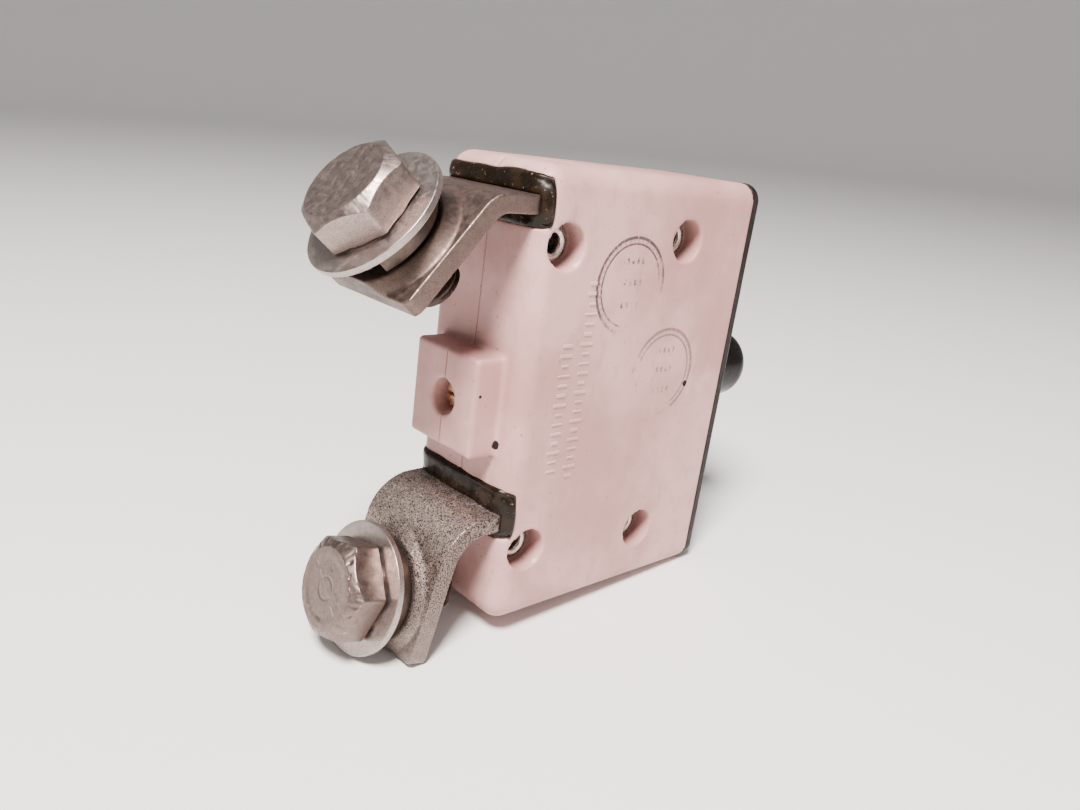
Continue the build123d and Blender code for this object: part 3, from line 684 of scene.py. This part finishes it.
GREY, BROWN, RUST = (0.195, 0.140, 0.123), (0.130, 0.088, 0.074), (0.120, 0.070, 0.052)
ZINC, DULL_ZINC = (0.440, 0.372, 0.350), (0.345, 0.282, 0.262)
SPRING, DULL_SPRING = (0.105, 0.080, 0.070), (0.060, 0.043, 0.036)
materials = {
    "case_resin": case_material(),
    "plate_black": black_material("plate_black", (0.009, 0.006, 0.005), 0.34, 0.10),
    "button_black": black_material("button_black", (0.005, 0.004, 0.004), 0.20, 0.05),
    "band_white": fibre_material("band_white", (0.82, 0.80, 0.76), (0.70, 0.67, 0.62)),
    "potting_black": potting_material(),
    "terminal_plate": metal_material("terminal_plate", GREY, BROWN, RUST, 0.46, pits=0.35, wear=0.7,
                                     shade_and_dirt=lambda s: seat_shade_and_dirt(s, "line")),
    "hardware_steel": metal_material("hardware_steel", ZINC, DULL_ZINC, RUST, 0.38, pits=0.2, wear=0.9),
    "nut_dark": metal_material("nut_dark", (0.10, 0.075, 0.055), (0.05, 0.036, 0.028), (0.09, 0.055, 0.035),
                               0.40, pits=0.2, wear=0.5),
    "rivet_bright": metal_material("rivet_bright", (0.62, 0.57, 0.54), (0.42, 0.37, 0.34),
                                   (0.22, 0.14, 0.10), 0.22, pits=0.4),
    "brass": metal_material("brass", (0.86, 0.62, 0.34), (0.66, 0.45, 0.22), (0.35, 0.20, 0.10), 0.26),
    "spring_steel": metal_material("spring_steel", (0.55, 0.54, 0.53), (0.42, 0.41, 0.40), RUST, 0.30),
    "frame_steel": metal_material("frame_steel", (0.62, 0.61, 0.59), (0.50, 0.48, 0.45), RUST, 0.34),
    "copper": metal_material("copper", (0.72, 0.36, 0.22), (0.50, 0.23, 0.14), (0.24, 0.11, 0.07), 0.36),
    "silver": metal_material("silver", (0.86, 0.85, 0.82), (0.68, 0.66, 0.62), (0.30, 0.27, 0.22), 0.28),
    "bimetal": metal_material("bimetal", (0.50, 0.46, 0.42), (0.38, 0.33, 0.30), RUST, 0.38),
    "fibre": fibre_material("fibre", (0.30, 0.13, 0.08), (0.20, 0.08, 0.05)),
    "carrier": fibre_material("carrier", (0.10, 0.055, 0.04), (0.06, 0.032, 0.024)),
}
speckled = metal_material("terminal_speckled", (0.50, 0.405, 0.365), (0.37, 0.288, 0.256), RUST, 0.50,
                          pits=0.96, cover=0.42, shade_and_dirt=load_darkening, fade=pit_fade)
bolt_metal = {}
for end, light, dark in (("line", (0.330, 0.262, 0.240), (0.265, 0.202, 0.182)),
                         ("load", (0.235, 0.178, 0.160), (0.180, 0.132, 0.116))):
    bolt_metal[end] = metal_material(end + "_bolt_steel", light, dark, RUST, 0.38, pits=0.25, wear=0.9,
                                     shade_and_dirt=lambda s, end=end: thread_shade(s, end))
lock_metal = metal_material("lock_steel", SPRING, DULL_SPRING, (0.09, 0.055, 0.040), 0.34, pits=0.2)
# CAD nodes that no piece stands for stay in the scene, each in its slot's material
for entry in frame["record"]["subparts"]:
    node = frame["nodes"][entry["node"]]
    node.data.materials.clear()
    node.data.materials.append(materials[entry["material_slot"]])


# ---------------------------------------------------------------- case

def case_shell(side):
    """One moulded half: every sharp rim slightly rounded, so the parting line reads as a fine groove."""
    node = "case_shell_" + side
    shell = remeshed(node_copy(node, "moulded_shell_" + side), 0.30, 2)
    return finish_piece(shell, materials["case_resin"], "case", "case_resin", node)


def raised_ticks():
    """Two rows of plain raised ticks on the left side, low and worn."""
    bm = bmesh.new()
    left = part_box("case_shell_left")[0].x
    for y, top, bottom, count in TICK_ROWS:
        for i in range(count):
            z = top + (bottom - top) * i / (count - 1)
            tall = 0.75 + 0.25 * math.sin(2.4 * i)
            wide = 0.17 + 0.05 * math.sin(1.3 * i + 1.0)
            matrix = (Matrix.Translation((left - 0.03 * MM, y * MM, z * MM))
                      @ Matrix.Diagonal((0.20 * MM, 2 * tall * MM, 2 * wide * MM, 1.0)))
            bmesh.ops.create_cube(bm, size=1.0, matrix=matrix)
    mesh = bpy.data.meshes.new("side_ticks")
    bm.to_mesh(mesh)
    bm.free()
    ticks = new_piece("side_ticks", mesh)
    softened(ticks, 0.07, 2)
    return finish_piece(ticks, materials["case_resin"], "case", "case_resin")


def case_rivet_set():
    """Four tubular rivets with rolled rims, deep in their recesses on both sides."""
    points = node_points("case_rivets")
    half = points[:, 0].max() / MM
    holes = rivet_centres(points)
    objects = []
    for index, (y, z) in enumerate(holes):
        rolled = [(RIVET_BORE, -half + 0.5), (RIVET_BORE + 0.15, -half + 0.12),
                  (RIVET_BORE + 0.62, -half + 0.01), (RIVET_RIM - 0.15, -half + 0.24),
                  (RIVET_RIM, -half + 0.5), (RIVET_RIM - 0.12, -half + 0.74), (RIVET_RADIUS, -half + 0.78)]
        profile = rolled + [(r, -height) for r, height in reversed(rolled)]
        profile = soften_loop(dense_loop(profile, 0.6), 0.12, 3)
        place = Matrix.Translation((0, y, z)) @ Matrix.Rotation(math.pi / 2, 4, "Y")
        objects.append(turned(f"tube_rivet_{index}", profile, 64, place, True))
    return join(objects, "tube_rivets")


def rivet_centres(points):
    """Centre of each rivet in (y, z), found by grouping the node's points."""
    groups = []
    for _, y, z in points:
        for group in groups:
            if math.hypot(group[0][0] - y, group[0][1] - z) < 6 * MM:
                group.append((y, z))
                break
        else:
            groups.append([(y, z)])
    centres = []
    for group in groups:
        block = np.array(group)
        centres.append(tuple((block.min(0) + block.max(0)) / 2))
    return centres


def join(objects, name):
    """One piece made of several."""
    bm = bmesh.new()
    for o in objects:
        bm.from_mesh(o.data)
        bpy.data.objects.remove(o)
    mesh = bpy.data.meshes.new(name)
    bm.to_mesh(mesh)
    bm.free()
    piece = new_piece(name, mesh)
    fix_normals(piece)
    return piece


def potting(end):
    """Seal of potting compound, slumped and uneven where it stands proud, fuller on the near side."""
    node = end + "_terminal_seal"
    seal = remeshed(node_copy(node, end + "_potting"), 0.16, 40)
    low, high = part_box(node)
    rear = high.y

    def slump(point, normal):
        """Lumps where it stands proud of the case, and rounds on its corners towards the marked side."""
        proud = 0.5 + 0.5 * math.tanh((point.y - rear + 2.2 * MM) / (0.8 * MM))
        near = 0.5 - 0.5 * math.tanh(point.x / (3.5 * MM))
        lift = 0.30 * near * max(0.0, normal.z)
        fill = 0.16 * (1 - abs(normal.x))
        ends = min(abs(point.z - low.z), abs(high.z - point.z)) / MM
        fill -= 0.90 * near * abs(normal.x) * max(0.0, 1 - ends / 2.0) ** 2
        side = abs(point.x - low.x) / MM
        fill -= 0.80 * proud * abs(normal.z) * max(0.0, 1 - side / 2.2) ** 2
        skewed = SKEW @ point
        lumps = 0.38 * rough_noise(skewed, 0.17, 2) + 0.06 * rough_noise(skewed, 0.47, 2)
        return fill + proud * (lumps + lift - 0.05)

    displace(seal, slump)
    keep_in_box(seal)
    return finish_piece(seal, materials["potting_black"], "case", "potting_black", node)


# ---------------------------------------------------------------- front side

def ahead(x=0.0, z=0.0):
    """Matrix whose z runs forwards from the front face, out of the case."""
    return Matrix.Translation((x * MM, 0, z * MM)) @ Matrix.Rotation(math.pi / 2, 4, "X")


def front_box(node):
    """Outer radius or half width of a front node and its two heights ahead of the front face."""
    low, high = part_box(node)
    return (high.x - low.x) / 2 / MM, -high.y / MM, -low.y / MM


def push_button():
    """Moulded button: softly rounded end with a slight dish and a faint groove round its foot."""
    radius, base, tip = front_box("button")
    profile = [(0.05, tip - 0.16), (2.6, tip - 0.10), (3.9, tip - 0.01), (radius - 0.9, tip - 0.18),
               (radius - 0.25, tip - 0.95), (radius, tip - 1.9), (radius, base + 1.2),
               (radius - 0.05, base + 0.9), (radius, base + 0.55), (radius - 0.25, base),
               (2.6, base), (0.05, base)]
    profile = densify(soften(profile, 0.35, 5), 0.5)
    knob = turned("push_button", profile, 128, ahead(), False)
    displace(knob, lambda point, normal: 0.03 * rough_noise(point, 0.18) - 0.02)
    keep_in_box(knob)
    shade_smooth(knob, 50)
    return finish_piece(knob, materials["button_black"], "push_button", "button_black", "button")


def sleeve(name, node, bore, round_by, slot, body):
    """Turned ring round the button's axis with rounded rims, as long as its CAD node."""
    radius, base, tip = front_box(node)
    loop = soften_loop([(bore, base), (radius, base), (radius, tip), (bore, tip)], round_by, 4)
    ring = turned(name, dense_loop(loop, 0.4), 128, ahead(), True)
    return finish_piece(ring, materials[slot], body, slot, node)


def bushing():
    """Guide with a stepped collar in front of the plate."""
    _, base, tip = front_box("button_bushing")
    corners = [(BUSH_BORE, base), (BUSH_RADIUS, base), (BUSH_RADIUS, 0.0), (BUSH_COLLAR, 0.0),
               (BUSH_COLLAR, tip), (BUSH_BORE, tip)]
    loop = dense_loop(soften_loop(corners, 0.16, 4), 0.4)
    ring = turned("guide_bushing", loop, 128, ahead(), True)
    return finish_piece(ring, materials["plate_black"], "case", "plate_black", "button_bushing")


def plate():
    """Thin front cover, its rims slightly rounded and its face a little wavy."""
    shell = remeshed(node_copy("front_plate", "front_moulding"), 0.18, 2)
    displace(shell, lambda point, normal: 0.03 * rough_noise(point, 0.10) - 0.012)
    keep_in_box(shell)
    return finish_piece(shell, materials["plate_black"], "case", "plate_black", "front_plate")


def inserts():
    """Flanged brass bushes; separate rings in the bore stand for the thread."""
    _, base, tip = front_box("panel_inserts")
    depth, ridges = 0.28, 11
    pitch = (base - tip + 0.4) / ridges
    thread = []
    for i in range(ridges):
        height = tip - 0.2 + pitch * i
        thread += [(INSERT_BORE, height), (INSERT_BORE + depth, height + pitch / 2)]
    front, back = (-y for y in INSERT_FLANGE_AT)
    shoulder = [(INSERT_BORE, base), (INSERT_RADIUS, base), (INSERT_RADIUS, back), (INSERT_FLANGE, back),
                (INSERT_FLANGE, front), (INSERT_RADIUS, front), (INSERT_RADIUS, tip), (INSERT_BORE, tip)]
    loop = soften_loop(thread + shoulder, 0.08, 2)
    bushes = [turned(f"insert_{i}", loop, 64, ahead(z=z), True) for i, z in enumerate(INSERT_PLACES)]
    pair = join(bushes, "threaded_inserts")
    return finish_piece(pair, materials["brass"], "case", "brass", "panel_inserts")


def front_set():
    """Everything on the front side."""
    plate()
    bushing()
    inserts()
    push_button()
    sleeve("trip_sleeve", "trip_band", BAND_BORE, 0.12, "band_white", "push_button")


# ---------------------------------------------------------------- terminals and hardware

def bolt_place(end):
    """Matrix whose z runs out along a bolt's axis, from the washer's outer face."""
    record = joint(end + "_bolt_turn")
    axis = Vector(record["axis"]).normalized()
    side = Vector((-1, 0, 0))
    up = axis.cross(side)
    basis = Matrix((side, up, axis)).transposed().to_4x4()
    return Matrix.Translation(record["pos_m"]) @ basis


def strip_of(end):
    """Terminal strip: pressed copper alloy with worn edges; the load one is deeply pitted on top."""
    node = end + "_terminal"
    strip = remeshed(node_copy(node, end + "_strip"), 0.17, 5)
    depth = 0.07 if end == "load" else 0.02

    def wear(point, normal):
        """Slow waves all over, and pits on the faces that look up or to the rear."""
        pitting = max(0.0, rough_noise(point, 1.7, 4) - 0.15)
        waves = 0.05 * rough_noise(point, 0.12)
        return waves - depth * pitting * max(0.0, normal.y * 0.5 + normal.z * 0.7 + 0.1)

    displace(strip, wear)
    keep_in_box(strip)
    material = speckled if end == "load" else materials["terminal_plate"]
    return finish_piece(strip, material, "case", "terminal_plate", node)


def hex_radius(angle, turned_by):
    """Distance from the axis to the side of the hexagon, its corners slightly rounded."""
    sharpness = 46.0
    turns = [angle - turned_by - math.pi / 6 - k * math.pi / 3 for k in range(6)]
    total = sum(max(0.0, math.cos(turn)) ** sharpness for turn in turns)
    return HEX_FLAT / total ** (1 / sharpness)


def corner_angle(end, place):
    """Direction of one corner of the CAD bolt head, seen along the bolt's axis."""
    back = place.inverted()
    local = np.array([back @ Vector(p) for p in node_points(end + "_bolt")])
    head = local[local[:, 2] > 0.5 * MM]
    far = head[np.argmax(np.hypot(head[:, 0], head[:, 1]))]
    return math.atan2(far[1], far[0])


def thread_depth(z, angle):
    """How far the thread cuts in at a height and angle, in millimetres; right-handed, V-shaped."""
    phase = (z / THREAD_PITCH - angle / TAU) % 1.0
    return THREAD_DEPTH * min(1.0, max(0.0, 1.35 * abs(2 * phase - 1) - 0.15))


def head_outline(side):
    """Half section of a bolt head, from the middle of its dished face down to the shank."""
    face = [(r, HEAD_HEIGHT - 0.07 - 0.05 * math.exp(-((r - FORGED_RING) / 0.16) ** 2))
            for r in np.linspace(0.05, 3.1, 31)]
    crown = HEAD_HEIGHT - (side - HEAD_FACE_RADIUS) * HEAD_CONE_SLOPE
    outline = [(3.4, HEAD_HEIGHT - 0.07), (4.0, HEAD_HEIGHT),
               (HEAD_FACE_RADIUS, HEAD_HEIGHT), (side, crown), (side, WASHER_FACE),
               (WASHER_FACE_RADIUS, WASHER_FACE - 0.02), (WASHER_FACE_RADIUS, HEAD_GAP),
               (SHANK_RADIUS, HEAD_GAP)]
    return face + rounded_outline(outline, 0.11)


def hex_bolt(end):
    """Forged hex bolt: dished face, chamfered crown, washer face and a cut thread."""
    place = bolt_place(end)
    start = corner_angle(end, place)
    angles = np.linspace(0, TAU, HEAD_POINTS, endpoint=False)
    profiles = [head_outline(hex_radius(angle, start)) for angle in angles]
    rows = [[(p[i][0] * math.cos(a), p[i][0] * math.sin(a), p[i][1]) for p, a in zip(profiles, angles)]
            for i in range(len(profiles[0]))]
    for i in range(1, THREAD_STEPS + 1):
        z = -SHANK_LENGTH * i / THREAD_STEPS
        tip = min(1.0, (z + SHANK_LENGTH) / 0.7)
        radii = [SHANK_RADIUS - thread_depth(z, a) - 0.45 * (1 - tip) for a in angles]
        rows.append([(r * math.cos(a), r * math.sin(a), z) for r, a in zip(radii, angles)])
    rows = [[place @ (Vector(p) * MM) for p in row] for row in rows]
    bolt = from_rows(end + "_hex_bolt", rows)
    back = place.inverted()

    def forging(point, normal):
        """Dents on the head, deeper on its crown; the thread stays as it was cut."""
        height = (back @ point).z / MM
        if height < 0.6:
            return 0.0
        dents = min(0.0, rough_noise(point, 0.8, 3) + 0.30)
        crown = height > 3.2 and (back @ point).xy.length > (HEAD_FACE_RADIUS - 0.1) * MM
        battered = min(0.0, rough_noise(point, 1.5, 3) + 0.10) * (BATTERED[end] if crown else 0.0)
        return 0.018 * rough_noise(point, 0.3) + 0.09 * dents + battered - 0.010

    displace(bolt, forging)
    shade_smooth(bolt, 32)
    return finish_piece(bolt, bolt_metal[end], end + "_screw", "hardware_steel", end + "_bolt")


def ring_piece(name, bore, radius, low, high, place, round_by, material, body, slot, node, uneven):
    """Stamped ring with rounded rims and a slightly uneven surface."""
    corners = [(bore, low), (radius, low), (radius, high), (bore, high)]
    loop = dense_loop(soften_loop(corners, round_by, 5), 0.35)
    ring = turned(name, loop, 192, place, True)
    displace(ring, lambda point, normal: uneven * rough_noise(point, 0.28) - uneven * 0.5)
    return finish_piece(ring, material, body, slot, node)


def lock_ring(end):
    """Slack split lock washer: almost one turn of a flat coil whose two ends stand apart."""
    place = bolt_place(end)
    low = -WASHER_THICK - LOCK_THICK - LOCK_RISE
    corners = [(LOCK_BORE, 0.0), (LOCK_RADIUS, 0.0), (LOCK_RADIUS, LOCK_THICK), (LOCK_BORE, LOCK_THICK)]
    loop = soften_loop(corners, 0.20, 4)
    count = 180
    rows = []
    for i in range(count + 1):
        share = i / count
        angle = LOCK_SPLIT_AT + LOCK_TURN * share
        rise = low + LOCK_RISE * share
        rows.append([place @ (Vector((r * math.cos(angle), r * math.sin(angle), rise + z)) * MM)
                     for r, z in loop])
    lock = from_rows(end + "_spring_washer", rows)
    displace(lock, lambda point, normal: 0.03 * rough_noise(point, 0.6) - 0.015)
    shade_smooth(lock, 50)
    return finish_piece(lock, lock_metal, end + "_washers", "hardware_steel", end + "_lock_washer")


def terminal_set(end):
    """One terminal with its seal, bolt, washers and captive nut."""
    place = bolt_place(end)
    strip_of(end)
    potting(end)
    hex_bolt(end)
    lock_ring(end)
    ring_piece(end + "_plain_washer", WASHER_BORE, WASHER_RADIUS[end], -WASHER_THICK, 0.0, place, 0.16,
               materials["hardware_steel"], end + "_washers", "hardware_steel", end + "_flat_washer", 0.03)
    under = -WASHER_THICK - LOCK_THICK - LOCK_RISE - LAND_HEIGHT[end] - STRIP_THICK[end]
    ring_piece(end + "_round_nut", NUT_BORE, NUT_RADIUS, under - NUT_THICK, under, place, 0.35,
               materials["nut_dark"], "case", "nut_dark", end + "_captive_nut", 0.03)


# ---------------------------------------------------------------- stage, light and camera

def support_slope():
    """Slope along Y of the plane that carries the breaker, and the place of its front edge."""
    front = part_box("front_plate")
    edge_y, edge_z = front[0].y + 0.5 * MM, front[0].z
    slopes = []
    for name in ("load_terminal", "load_flat_washer", "case_shell_left"):
        for _, y, z in node_points(name):
            if y > edge_y + 10 * MM:
                slopes.append((z - edge_z) / (y - edge_y))
    return min(slopes), edge_y, edge_z


def stage():
    """Pale floor under the breaker, sweeping up far away all round."""
    slope, edge_y, edge_z = support_slope()
    profile = [(0.0001, 0.0), (0.05, 0.0), (0.2, 0.0), (FLOOR_FLAT, 0.0)]
    for t in np.linspace(0.1, math.pi / 2, 16):
        profile.append((FLOOR_FLAT + FLOOR_SWEEP * math.sin(t), FLOOR_SWEEP * (1 - math.cos(t))))
    profile.append((FLOOR_FLAT + FLOOR_SWEEP, FLOOR_SWEEP + FLOOR_RISE))
    tilt = Matrix.Translation((0, edge_y, edge_z - 0.02 * MM)) @ Matrix.Rotation(math.atan(slope), 4, "X")
    angles = np.linspace(0, TAU, 128, endpoint=False)
    rows = [[tilt @ Vector((r * math.cos(a), r * math.sin(a), z)) for a in angles] for r, z in profile]
    floor = from_rows("stage_floor", rows, caps=False)
    floor.data.materials.append(stage_material())


def area_light(name, position, target, size, power, colour):
    """Round soft light aimed at a point."""
    data = bpy.data.lights.new(name, "AREA")
    data.shape = "DISK"
    data.size = size
    data.energy = power
    data.color = colour
    lamp = bpy.data.objects.new(name, data)
    bpy.context.scene.collection.objects.link(lamp)
    lamp.location = position
    lamp.rotation_mode = "QUATERNION"
    lamp.rotation_quaternion = (Vector(target) - Vector(position)).to_track_quat("-Z", "Y")


def lights():
    """Soft key from above and behind the terminals, a weak fill from the marked side, low ambient."""
    middle = Vector(LIT_POINT)
    towards = Vector(KEY_TOWARDS).normalized()
    area_light("key", middle + towards * KEY_DISTANCE, middle, 0.16, KEY_POWER, (1.0, 0.95, 0.91))
    area_light("fill", FILL_AT, middle, 0.40, FILL_POWER, (1.0, 0.90, 0.86))
    world = bpy.data.worlds.new("studio")
    world.use_nodes = True
    world.node_tree.nodes["Background"].inputs["Color"].default_value = (0.95, 0.95, 0.96, 1.0)
    world.node_tree.nodes["Background"].inputs["Strength"].default_value = AMBIENT
    bpy.context.scene.world = world


def camera():
    """Seen from behind and to the left, slightly above and rolled a little."""
    data = bpy.data.cameras.new("camera")
    data.sensor_width = 36.0
    data.lens = CAMERA_LENS
    data.clip_start = 0.005
    data.clip_end = 20.0
    eye = bpy.data.objects.new("camera", data)
    bpy.context.scene.collection.objects.link(eye)
    forward = Vector(CAMERA_FORWARD).normalized()
    up = Vector(CAMERA_UP)
    right = forward.cross(up).normalized()
    up = right.cross(forward)
    basis = Matrix((right, up, -forward)).transposed().to_4x4()
    eye.matrix_world = Matrix.Translation([v * MM for v in CAMERA_AT]) @ basis
    bpy.context.scene.camera = eye


camera()
lights()
stage()
for side in ("left", "right"):
    case_shell(side)
raised_ticks()
front_set()
finish_piece(case_rivet_set(), materials["rivet_bright"], "case", "rivet_bright", "case_rivets")
for end in ("line", "load"):
    terminal_set(end)
